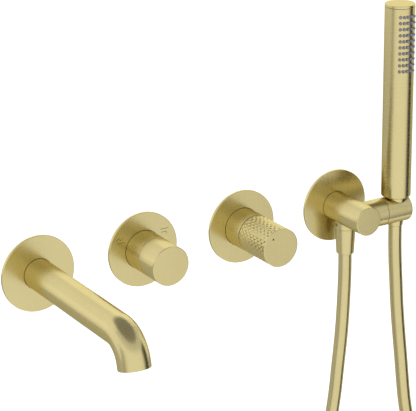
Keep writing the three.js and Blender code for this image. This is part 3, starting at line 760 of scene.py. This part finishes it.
def add_spout_adapter(x, seat):
    """The threaded adapter in the wall. Its front part fits in the spout's tube."""
    box, screw, ring = Box("spout_inlet_adapter"), Box("spout_grub_screw"), Box("spout_o_ring")
    front, back = -box.low.y, -box.high.y
    profile = [
        (PIPE_BORE, back),
        *thread(PIPE_THREAD, back, PIPE_SHOULDER - PIPE_RUNOUT),
        (PIPE_THREAD - THREAD_DEPTH, PIPE_SHOULDER),
        (seat, PIPE_SHOULDER, SOFT_EDGE),
        (seat, front, SOFT_EDGE),
        (PIPE_BORE, front),
    ]
    adapter = turned("spout_threaded_adapter", profile, (x, 0, 0), OUT, BRASS, SMALL_SIDES)
    cutters = [
        groove(seat, SCREW_GROOVE, -screw.middle.y, (x, 0, 0), OUT, BRASS),
        groove(seat, SPOUT_RING_GROOVE, -ring.middle.y, (x, 0, 0), OUT, BRASS),
    ]
    combine(adapter, cutters)
    mount(adapter, "root", "spout_inlet_adapter", SHARP_BRASS)


def add_aerator(box, radius, end):
    """The housing and the pierced insert in the spout's mouth. Heights run out of it."""
    mouth, turn = spout_point(end, box, radius)
    way = Matrix.Rotation(turn, 3, "X") @ OUT
    outer = radius - SPOUT_WALL - GAP
    bore = outer - AERATOR_WALL
    front = -AERATOR_INSET
    ring = tube(bore, outer, front - AERATOR_DEPTH, front, SLIGHT_EDGE)
    housing = turned("aerator_ring", ring, mouth, way, DARK_PLASTIC, SMALL_SIDES)
    mount(housing, "root", "aerator_housing")

    top = front - GRID_INSET
    low = top - GRID_THICKNESS
    insert = turned("aerator_grid", cylinder(bore - GAP, low, top), mouth, way, PLASTIC, SMALL_SIDES)
    pierced = cylinder(GRID_HOLE, low - PAST, top + PAST)
    cutters = []
    for circle in range(GRID_RINGS):
        for angle in turns(6 * circle or 1):
            offset = circle * GRID_PITCH * Vector((cos(angle), sin(angle), 0))
            cutters.append(turned("hole", pierced, mouth + way @ offset, way, PLASTIC, FINE_SIDES))
    combine(insert, [joined(cutters)])
    mount(insert, "root", "aerator_insert")


def joined(pieces):
    """Several pieces that don't touch, as one."""
    bm = bmesh.new()
    for piece in pieces:
        bm.from_mesh(piece.data)
        bpy.data.objects.remove(piece)
    return object_from("joined", bm)


# ---- Diverter and mixer ----


def add_control(name, knurled):
    sleeve_box = Box(f"{name}_sleeve")
    radius = sleeve_box.half.x
    x = sleeve_box.middle.x
    add_rosette(name, radius)
    back, front = -sleeve_box.high.y, -sleeve_box.low.y
    bore = radius - SLEEVE_WALL
    sleeve_profile = [(bore, back), (radius, back), (radius, front, SLIGHT_EDGE), (bore, front)]
    sleeve = turned(f"{name}_fixed_sleeve", sleeve_profile, (x, 0, 0), OUT)
    mount(sleeve, "root", f"{name}_sleeve")
    add_valve(name, x)
    add_handle(name, x, knurled)


def add_valve(name, x):
    """The valve body, whose threaded back shows behind the wall."""
    box = Box(f"{name}_valve_body")
    radius, back, front = box.half.x, -box.high.y, -box.low.y
    ring_out = -Box(f"{name}_sleeve_o_ring").middle.y
    bore, floor, shoulder = radius - VALVE_WALL, back + VALVE_FLOOR, back + VALVE_SHOULDER
    depth, half = VALVE_GROOVE
    profile = [
        (VALVE_INLET, back),
        *thread(radius, back + VALVE_THREAD[0], back + VALVE_THREAD[1], VALVE_THREAD_DEPTH),
        (radius - VALVE_THREAD_DEPTH, shoulder),
        (radius, shoulder + VALVE_THREAD_DEPTH),
        (radius, ring_out - half),
        (radius - depth, ring_out - half),
        (radius - depth, ring_out + half),
        (radius, ring_out + half),
        (radius, front),
        (bore, front),
        (bore, floor),
        (VALVE_INLET, floor),
    ]
    body = turned(f"{name}_threaded_body", profile, (x, 0, 0), OUT, BRASS, SMALL_SIDES)
    mount(body, "root", f"{name}_valve_body", SHARP_BRASS)


def knurled_skin(bm, radius, start, end, x):
    """Rings of a diamond knurl about -Y. Every second point is low, and the grooves join them."""
    columns, rows = 2 * KNURL_COLUMNS, 2 * KNURL_ROWS
    rings = []
    for row in range(rows + 1):
        out = start + (end - start) * row / rows
        ring = []
        for column, angle in enumerate(turns(columns)):
            low = (row + column) % 2 == 0 or row in (0, rows)
            size = radius - (KNURL_DEPTH if low else 0)
            ring.append(bm.verts.new((x + size * cos(angle), -out, size * sin(angle))))
        rings.append(ring)
    for row, (one, other) in enumerate(zip(rings, rings[1:])):
        for i in range(columns):
            j = (i + 1) % columns
            if (row + i) % 2 == 0:
                corners = ((one[i], one[j], other[j]), (one[i], other[j], other[i]))
            else:
                corners = ((one[i], one[j], other[i]), (one[j], other[j], other[i]))
            for triangle in corners:
                bm.faces.new(triangle)
    return rings[0], rings[-1]


def knurled_handle(name, radius, start, face, x):
    """The mixer's knob: a diamond knurl between a narrow collar and the face's thin rim."""
    low = radius - KNURL_DEPTH
    bm = bmesh.new()
    first, last = knurled_skin(bm, radius, start + KNURL_COLLAR, face - KNURL_RIM, x)

    def ring(size, out):
        around = turns(2 * KNURL_COLUMNS)
        return [bm.verts.new((x + size * cos(a), -out, size * sin(a))) for a in around]

    back = [ring(radius / 2, start), ring(low - SLIGHT_EDGE, start), ring(low, start + SLIGHT_EDGE), first]
    front = [last, *(ring(radius - inset * MM, face - behind * MM) for inset, behind in KNURL_FACE)]
    ring_stack(bm, back, closed=False)
    ring_stack(bm, front, closed=False)
    bm.faces.new(back[0])
    bm.faces.new(front[-1])
    handle = object_from(f"{name}_knob", bm, GOLD_OUT, GOLD_FLAT)
    for polygon in handle.data.polygons:
        polygon.material_index = int(abs(polygon.normal.y) > FLAT)
    return handle


def add_handle(name, x, knurled):
    box, adapter, screw = Box(f"{name}_handle"), Box(f"{name}_handle_adapter"), Box(f"{name}_grub_screw")
    radius, start, face = box.half.x, -box.high.y, -box.low.y
    place = (x, 0, 0)
    if knurled:
        handle = knurled_handle(name, radius, start, face, x)
    else:
        profile = [(0, start), (radius, start, SLIGHT_EDGE), (radius, face, FACE_EDGE), (0, face)]
        handle = turned(f"{name}_knob", profile, place, OUT, sides=KNOB_SIDES)
    pocket = adapter.half.x + GAP
    cutters = [
        hole(radius - HANDLE_WALL, start - PAST, -adapter.high.y - GAP, place, OUT, SMALL_SIDES),
        hole(pocket, start - PAST, -adapter.low.y + GAP, place, OUT, SMALL_SIDES),
        hole(screw.half.x + GAP, -radius - PAST, -pocket + PAST, (x, screw.middle.y, 0), UP),
    ]
    if knurled:
        cutters.append(indicator_well(name, face))
    combine(handle, cutters)
    sharp = SHARP_KNURL if knurled else SHARP
    mount(handle, f"{name}_knob", f"{name}_handle", sharp=sharp)


def indicator_well(name, face):
    """Adds the index dot and returns the cutter for the well that it sits in."""
    box = Box(f"{name}_indicator")
    radius, back = box.half.x, face - INDEX_DEPTH
    place = (box.middle.x, 0, box.middle.z)
    profile = [(0, back), (radius, back), (radius, face, INDEX_EDGE), (0, face)]
    dot = turned(f"{name}_index_dot", profile, place, OUT, ENAMEL, HOLE_SIDES)
    mount(dot, f"{name}_knob", f"{name}_indicator")
    return hole(radius + WELL_PLAY, face - WELL_DEPTH, face + PAST, place, OUT)


def stroke(bm, points, y):
    """A thin strip through points, on a face that looks along -Y."""
    points = [Vector((point[0], y, point[1])) for point in points]
    for start, end in zip(points, points[1:]):
        along = (end - start).normalized()
        across = along.cross(Vector((0, 1, 0))) * SIGN_WIDTH / 2
        corners = [start - across, end - across, end + across, start + across]
        low = [bm.verts.new(corner) for corner in corners]
        high = [bm.verts.new(corner - Vector((0, SIGN_HEIGHT, 0))) for corner in corners]
        bm.faces.new(low)
        bm.faces.new(high)
        ring_stack(bm, [low, high], closed=False)


def add_pictograms():
    """Two dark signs on the diverter's rosette: a hand shower's jets and a bath spout."""
    box = Box("diverter_rosette")
    bm = bmesh.new()
    for points in SIGNS:
        stroke(bm, [(box.middle.x + x * MM, z * MM) for x, z in points], box.low.y + SIGN_SUNK)
    signs = object_from("diverter_signs", bm, ENGRAVED)
    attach(signs, "root")


# ---- Outlet and holder ----


def add_outlet():
    """The body in its rosette, with the neck to the hose below and the arm to the holder."""
    box, rosette, nut = Box("outlet_body"), Box("outlet_rosette"), Box("outlet_hose_nut")
    x = rosette.middle.x
    back, front = -box.high.y, -box.low.y
    radius = x - box.low.x
    stub, bottom = box.low.z, nut.high.z + GAP
    at_wall, at_neck, at_arm = (x, 0, 0), (x, -NECK_OUT, 0), (x, -ARM_OUT, 0)
    add_rosette("outlet", radius)

    body_profile = [(0, back), (radius, back), (radius, front, FACE_EDGE), (0, front)]
    body = turned("outlet_elbow", body_profile, at_wall, OUT)
    neck_profile = [
        (0, stub),
        (STUB_RADIUS, stub, SOFT_EDGE),
        (STUB_RADIUS, bottom),
        (NECK_RADIUS, bottom, SOFT_EDGE),
        (NECK_RADIUS, 0),
        (0, 0),
    ]
    neck = turned("neck", neck_profile, at_neck, UP, sides=SMALL_SIDES)
    arm_radius = Box("holder_cup").half.z
    arm_profile = [(0, 0), (arm_radius, 0), (arm_radius, ARM_END, SOFT_EDGE), (0, ARM_END)]
    arm = turned("arm", arm_profile, at_arm, SIDE)
    combine(body, [neck, arm], "UNION")

    nipple, pivot, screw = Box("outlet_inlet_nipple"), Box("holder_pivot"), Box("outlet_grub_screw")
    screw_place = (x, -NECK_OUT, screw.middle.z)
    screw_low, screw_high = -NECK_RADIUS - SCREW_HOLE_START, screw.high.x - x + GAP
    pin_low, pin_high = pivot.low.x - x - GAP, ARM_END + PAST
    cutters = [
        hole(nipple.half.x + GAP, back - PAST, -nipple.low.y + GAP, at_wall, OUT, BORE_SIDES),
        hole(WATERWAY_RADIUS, 0, WATERWAY_END, at_wall, OUT, BORE_SIDES),
        hole(WATERWAY_RADIUS, stub - PAST, 0, at_neck, UP, BORE_SIDES),
        hole(pivot.half.z + GAP, pin_low, pin_high, at_arm, SIDE, BORE_SIDES),
        hole(screw.half.z + GAP, screw_low, screw_high, screw_place, SIDE),
    ]
    combine(body, cutters)
    mount(body, "root", "outlet_body")
    add_outlet_nipple(x)
    add_holder(x, arm_radius)


def add_outlet_nipple(x):
    box = Box("outlet_inlet_nipple")
    radius, back, front = box.half.x, -box.high.y, -box.low.y
    profile = [
        (PIPE_BORE, back),
        *thread(radius, back, PIPE_SHOULDER - PIPE_RUNOUT),
        (radius - THREAD_DEPTH, PIPE_SHOULDER - THREAD_DEPTH),
        (radius, PIPE_SHOULDER),
        (radius, front, SOFT_EDGE),
        (PIPE_BORE, front),
    ]
    nipple = turned("outlet_threaded_nipple", profile, (x, 0, 0), OUT, BRASS, SMALL_SIDES)
    mount(nipple, "root", "outlet_inlet_nipple", SHARP_BRASS)


def add_holder(x, radius):
    """The cup at the arm's end, with the conical hole that the hose's cone stands in."""
    box, cone, pivot = Box("holder_cup"), Box("shower_hose_cone"), Box("holder_pivot")
    start, end = box.low.x - x, box.high.x - x
    rim = ARM_END + GAP
    profile = [
        (0, start),
        (radius - CUP_RIM, start),
        (radius - CUP_RIM, rim),
        (radius, rim, JOINT_EDGE),
        (radius, end, CUP_EDGE),
        (0, end),
    ]
    place = (x, -ARM_OUT, 0)
    cup = turned("holder_ring", profile, place, SIDE)
    slope = (cone.half.x - CONE_NARROW) / (cone.high.z - cone.low.z)
    reach = radius + CUP_HOLE_REACH

    def seat_radius(z):
        return cone.half.x + slope * (z - cone.high.z) + CUP_PLAY

    seat = [(0, -reach), (seat_radius(-reach), -reach), (seat_radius(reach), reach), (0, reach)]
    cutters = [
        turned("seat", seat, (cone.middle.x, -ARM_OUT, 0), UP),
        hole(pivot.half.z + GAP, start - PAST, pivot.high.x - x + GAP, place, SIDE, BORE_SIDES),
    ]
    combine(cup, cutters)
    mount(cup, "holder", "holder_cup")


def add_hose_nut(name, node, body, out, sizes):
    """A nut on an end of the hose, narrow below, with a socket that is open above."""
    box = Box(node)
    narrow, low_edge, high_edge, socket, floor = sizes
    profile = [
        (NUT_BORE, box.low.z),
        (narrow, box.low.z, low_edge),
        (box.half.x, box.high.z, high_edge),
        (socket, box.high.z),
        (socket, floor),
        (NUT_BORE, floor),
    ]
    nut = turned(name, profile, (box.middle.x, -out, 0), UP)
    mount(nut, body, node)
    return nut


# ---- Hand shower ----


def nozzle_places(top):
    """The nozzles' angles from -Y to the right, and their heights."""
    middle = (NOZZLE_COLUMNS - 1) / 2
    for row in range(NOZZLE_ROWS):
        for column in range(NOZZLE_COLUMNS):
            angle = NOZZLE_FACING + (column - middle) * NOZZLE_ANGLE
            yield angle, top - NOZZLE_BELOW_TOP - row * NOZZLE_PITCH


def wall_rows(low, high, top):
    """Heights of the barrel wall's mesh rows, fine beside the nozzles, and the rows below those."""
    first = top - NOZZLE_BELOW_TOP - (NOZZLE_ROWS - 0.5) * NOZZLE_PITCH
    fine = [first + NOZZLE_PITCH * i / CELLS for i in range(CELLS * NOZZLE_ROWS + 1)]
    below = [low + (first - low) * i / CELLS_BELOW for i in range(CELLS_BELOW)]
    above = [fine[-1] + (high - fine[-1]) * (i + 1) / CELLS_ABOVE for i in range(CELLS_ABOVE)]
    return below + fine + above, len(below)


def wall_columns():
    """Angles of the wall's mesh columns, and the number of fine ones across the nozzles."""
    fine = CELLS * NOZZLE_COLUMNS
    span = NOZZLE_COLUMNS * NOZZLE_ANGLE
    start = NOZZLE_FACING - span / 2
    angles = [start + span * i / fine for i in range(fine)]
    around = [start + span + (2 * pi - span) * i / CELLS_ROUND for i in range(CELLS_ROUND)]
    return angles + around, fine


def pierced_wall(bm, radius, low, high, top, centre):
    """A cylinder wall with a round hole for each nozzle. Returns its end rings and its holes."""
    heights, first_fine = wall_rows(low, high, top)
    angles, fine_columns = wall_columns()
    count = len(angles)

    def point(angle, z):
        return bm.verts.new((centre.x + radius * sin(angle), centre.y - radius * cos(angle), z))

    grid = [[point(angle, z) for angle in angles] for z in heights]
    fine_rows = range(first_fine, first_fine + CELLS * NOZZLE_ROWS)
    for row in range(len(heights) - 1):
        for column in range(count):
            if row in fine_rows and column < fine_columns:
                continue
            other = (column + 1) % count
            bm.faces.new((grid[row][column], grid[row][other], grid[row + 1][other], grid[row + 1][column]))

    holes = []
    for angle, z in nozzle_places(top):
        column = round((angle - angles[0]) / NOZZLE_ANGLE * CELLS - CELLS / 2)
        row = first_fine + round((z - heights[first_fine]) / NOZZLE_PITCH * CELLS - CELLS / 2)
        edge = [grid[row][column + i] for i in range(CELLS)]
        edge += [grid[row + i][column + CELLS] for i in range(CELLS)]
        edge += [grid[row + CELLS][column + CELLS - i] for i in range(CELLS)]
        edge += [grid[row + CELLS - i][column] for i in range(CELLS)]
        around = [HOLE_START + a for a in turns(len(edge))]
        rim = [point(angle + NOZZLE_HOLE / radius * cos(a), z + NOZZLE_HOLE * sin(a)) for a in around]
        ring_stack(bm, [edge, rim], closed=False)
        for spare in (grid[row + i][column + j] for i in range(1, CELLS) for j in range(1, CELLS)):
            bm.verts.remove(spare)
        holes.append(rim)
    return grid[0], grid[-1], holes


def add_barrel():
    """The tube, open above for the cap, with a hole in its wall for each nozzle."""
    box, cap = Box("shower_barrel"), Box("shower_cap")
    centre = Vector((box.middle.x, -ARM_OUT, 0))
    radius, bottom, rim, top = box.half.x, box.low.z, box.high.z, cap.high.z
    bore = radius - BARREL_WALL
    inside = bottom + BARREL_FLOOR
    low, high = bottom + BARREL_CHAMFER, rim - JOINT_EDGE
    bm = bmesh.new()
    skin_low, skin_high, holes = pierced_wall(bm, radius, low, high, top, centre)
    lining_low, lining_high, inner_holes = pierced_wall(bm, bore, low + MM, high, top, centre)
    for outer, inner in zip(holes, inner_holes):
        ring_stack(bm, [outer, inner], closed=False)

    angles = wall_columns()[0]

    def ring(size, z):
        around = [(sin(a), cos(a)) for a in angles]
        return [bm.verts.new((centre.x + size * x, centre.y - size * y, z)) for x, y in around]

    base = [skin_low, *(ring(radius - inset * MM, bottom + up * MM) for inset, up in BARREL_ROUNDING)]
    base += [ring(radius - BARREL_CHAMFER, bottom), ring(BARREL_INLET, bottom)]
    base += [ring(BARREL_INLET, inside), ring(bore, inside), lining_low]
    ring_stack(bm, base, closed=False)
    ring_stack(bm, [skin_high, ring(radius - JOINT_EDGE, rim), ring(bore, rim), lining_high], closed=False)
    barrel = object_from("shower_tube", bm, GOLD_UP)
    mount(barrel, "hand_shower", "shower_barrel")
    add_nozzles(centre, top, bore, radius)
    add_cap(centre, cap)


def add_nozzles(centre, top, bore, radius):
    """Silicone nozzles, each with a round tip and a fine hole, on the sheet behind the wall."""
    box = Box("shower_nozzle_mat")
    bm = bmesh.new()
    for angle, z in nozzle_places(top):
        add_nozzle(bm, centre + Vector((0, 0, z)), angle, bore - NOZZLE_ROOT, radius + NOZZLE_REACH)

    spread = NOZZLE_COLUMNS * NOZZLE_ANGLE / 2 + SHEET_MARGIN
    outline = []
    for size, sign in ((bore - GAP, 1), (bore - GAP - SHEET_THICKNESS, -1)):
        for i in range(SHEET_STEPS + 1):
            angle = NOZZLE_FACING + sign * spread * (2 * i / SHEET_STEPS - 1)
            outline.append(centre + size * Vector((sin(angle), -cos(angle), 0)))
    low = [bm.verts.new((point.x, point.y, box.low.z)) for point in outline]
    high = [bm.verts.new((point.x, point.y, box.high.z)) for point in outline]
    ring_stack(bm, [low, high], closed=False)
    for ends in (low, high):
        for i in range(SHEET_STEPS):
            bm.faces.new((ends[i], ends[i + 1], ends[-i - 2], ends[-i - 1]))
    nozzles = object_from("shower_nozzles", bm, SILICONE)
    mount(nozzles, "hand_shower", "shower_nozzle_mat", SHARP_NOZZLE)


def add_nozzle(bm, centre, angle, root, tip):
    """One nozzle, from its root to its tip, at that angle from -Y about the barrel's axis."""
    out = Vector((sin(angle), -cos(angle), 0))
    across = Vector((cos(angle), sin(angle), 0))
    up = Vector((0, 0, 1))
    profile = [
        (0, root),
        (NOZZLE_RADIUS, root),
        (NOZZLE_TIP, tip, NOZZLE_TIP_EDGE),
        (NOZZLE_JET, tip),
        (NOZZLE_JET, tip - NOZZLE_JET_DEPTH),
        (0, tip - NOZZLE_JET_DEPTH),
    ]
    rings = []
    for size, height in rounded(profile, steps=3):
        angles = turns(1 if size < ON_AXIS else FINE_SIDES)
        offsets = [size * (cos(a) * across + sin(a) * up) for a in angles]
        rings.append([bm.verts.new(centre + height * out + offset) for offset in offsets])
    ring_stack(bm, rings, closed=False)


def add_cap(centre, box):
    radius, top = box.half.x, box.high.z
    base = top - CAP_HEIGHT
    spigot = radius - BARREL_WALL - GAP
    profile = [
        (0, box.low.z),
        (spigot, box.low.z, SOFT_EDGE),
        (spigot, base),
        (radius, base, JOINT_EDGE),
        (radius, top, CAP_EDGE),
        (0, top),
    ]
    cap = turned("shower_end_cap", profile, centre, UP, sides=KNOB_SIDES)
    seal = Box("shower_cap_seal")
    combine(cap, [groove(spigot, CAP_GROOVE, seal.middle.z, centre, UP)])
    mount(cap, "hand_shower", "shower_cap")


# ---- Studio ----

STUDIO_BRIGHTNESS = 1.13
CARD_DISTANCE = 4.0
CARD_STEPS = 12
RIGHT_CARDS = (-42, 25)  # elevations of the cards on the right
CARDS = [  # each card's name, azimuths, elevations and brightness, as add_card takes them
    ("card_right_pale", (22, 36), RIGHT_CARDS, 0.95),
    ("card_right_soft", (36, 43), RIGHT_CARDS, 0.68),
    ("card_right_grey", (43, 49), RIGHT_CARDS, 0.35),
    ("card_right_dark", (49, 77), RIGHT_CARDS, 0.04),
    ("card_behind_low", (77, 263), (-80, -11), 0.57),
    ("card_left_grey", (263, 279), (-80, 10), 0.48),
    ("card_left_soft", (279, 292), (-80, 10), 0.82),
    ("card_behind_bright", (128, 168), (3, 42), 1.25),
    ("card_left_bright", (205, 230), (0, 14), 1.12),
    ("card_above_soft", (-110, 110), (28, 48), 0.72),
    ("card_above_dark", (0, 360), (48, 90), 0.26),
]
FLOOR_SIZE = 12
FLOOR_DROP = 0.01
SOFTBOX_SIZE = 3.0
SOFTBOX_ENERGY = 60
SOFTBOX_PLACE = (-0.5, -1.0, 3.2)


def add_card(name, azimuths, elevations, brightness):
    """A part of a wide sphere round the set, which only reflections see.

    Azimuths run from the front, -Y, to the right, and elevations up, both in degrees. The
    brightness is relative to the rest of the studio.
    """

    def spread(limits):
        low, high = limits
        return [radians(low + (high - low) * i / CARD_STEPS) for i in range(CARD_STEPS + 1)]

    bm = bmesh.new()
    rows = []
    for elevation in spread(elevations):
        flat = cos(elevation)
        line = []
        for azimuth in spread(azimuths):
            way = Vector((flat * sin(azimuth), -flat * cos(azimuth), sin(elevation)))
            line.append(bm.verts.new(CARD_DISTANCE * way))
        rows.append(line)
    for one, other in zip(rows, rows[1:]):
        for i in range(CARD_STEPS):
            bm.faces.new((one[i], one[i + 1], other[i + 1], other[i]))
    material = bpy.data.materials.new(name)
    material.use_nodes = True
    tree = material.node_tree
    tree.nodes.remove(tree.nodes["Principled BSDF"])
    glow = tree.nodes.new("ShaderNodeEmission")
    glow.inputs["Strength"].default_value = STUDIO_BRIGHTNESS * brightness
    tree.links.new(glow.outputs["Emission"], tree.nodes["Material Output"].inputs["Surface"])
    card = object_from(name, bm, material)
    card.visible_camera = False
    card.visible_diffuse = False
    card.visible_shadow = False


def add_floor():
    """The pale floor below the hose, which is also the background."""
    size, height = FLOOR_SIZE, CAD_BOX[0][2] - FLOOR_DROP
    corners = [(-size, -size, height), (size, -size, height), (size, size, height), (-size, size, height)]
    bm = bmesh.new()
    bm.faces.new([bm.verts.new(corner) for corner in corners])
    shader = Shader("floor")
    shader.colour(shader.noise(0.6), (0.93, 0.93, 0.93), (0.94, 0.94, 0.94))
    shader.base.inputs["Roughness"].default_value = 0.9
    shader.base.inputs["Specular IOR Level"].default_value = 0.0
    floor = object_from("floor", bm, shader.material)
    floor.visible_glossy = False


def add_studio():
    world = bpy.data.worlds.new("studio")
    world.use_nodes = True
    background = world.node_tree.nodes["Background"]
    background.inputs["Color"].default_value = (1, 1, 1, 1)
    background.inputs["Strength"].default_value = STUDIO_BRIGHTNESS
    bpy.context.scene.world = world
    bpy.context.scene.view_settings.view_transform = "Standard"
    for card in CARDS:
        add_card(*card)
    add_floor()

    data = bpy.data.lights.new("softbox", "AREA")
    data.shape = "RECTANGLE"
    data.size, data.size_y = SOFTBOX_SIZE, SOFTBOX_SIZE
    data.energy = SOFTBOX_ENERGY
    softbox = bpy.data.objects.new("softbox", data)
    softbox.location = SOFTBOX_PLACE
    softbox.visible_glossy = False
    bpy.context.collection.objects.link(softbox)


# ---- Everything ----

add_camera()
hose = add_hose()
outlet_nut = add_hose_nut("outlet_cone_nut", "outlet_hose_nut", "root", NECK_OUT, OUTLET_NUT)
shower_cone = add_hose_nut("shower_cone_nut", "shower_hose_cone", "hand_shower", ARM_OUT, SHOWER_CONE)

dress_cad_nodes()
add_rosette("spout", Box("spout_tube").half.x)
add_spout()
add_control("diverter", knurled=False)
add_pictograms()
add_control("mixer", knurled=True)
add_outlet()
add_barrel()
add_studio()

bpy.context.view_layer.update()
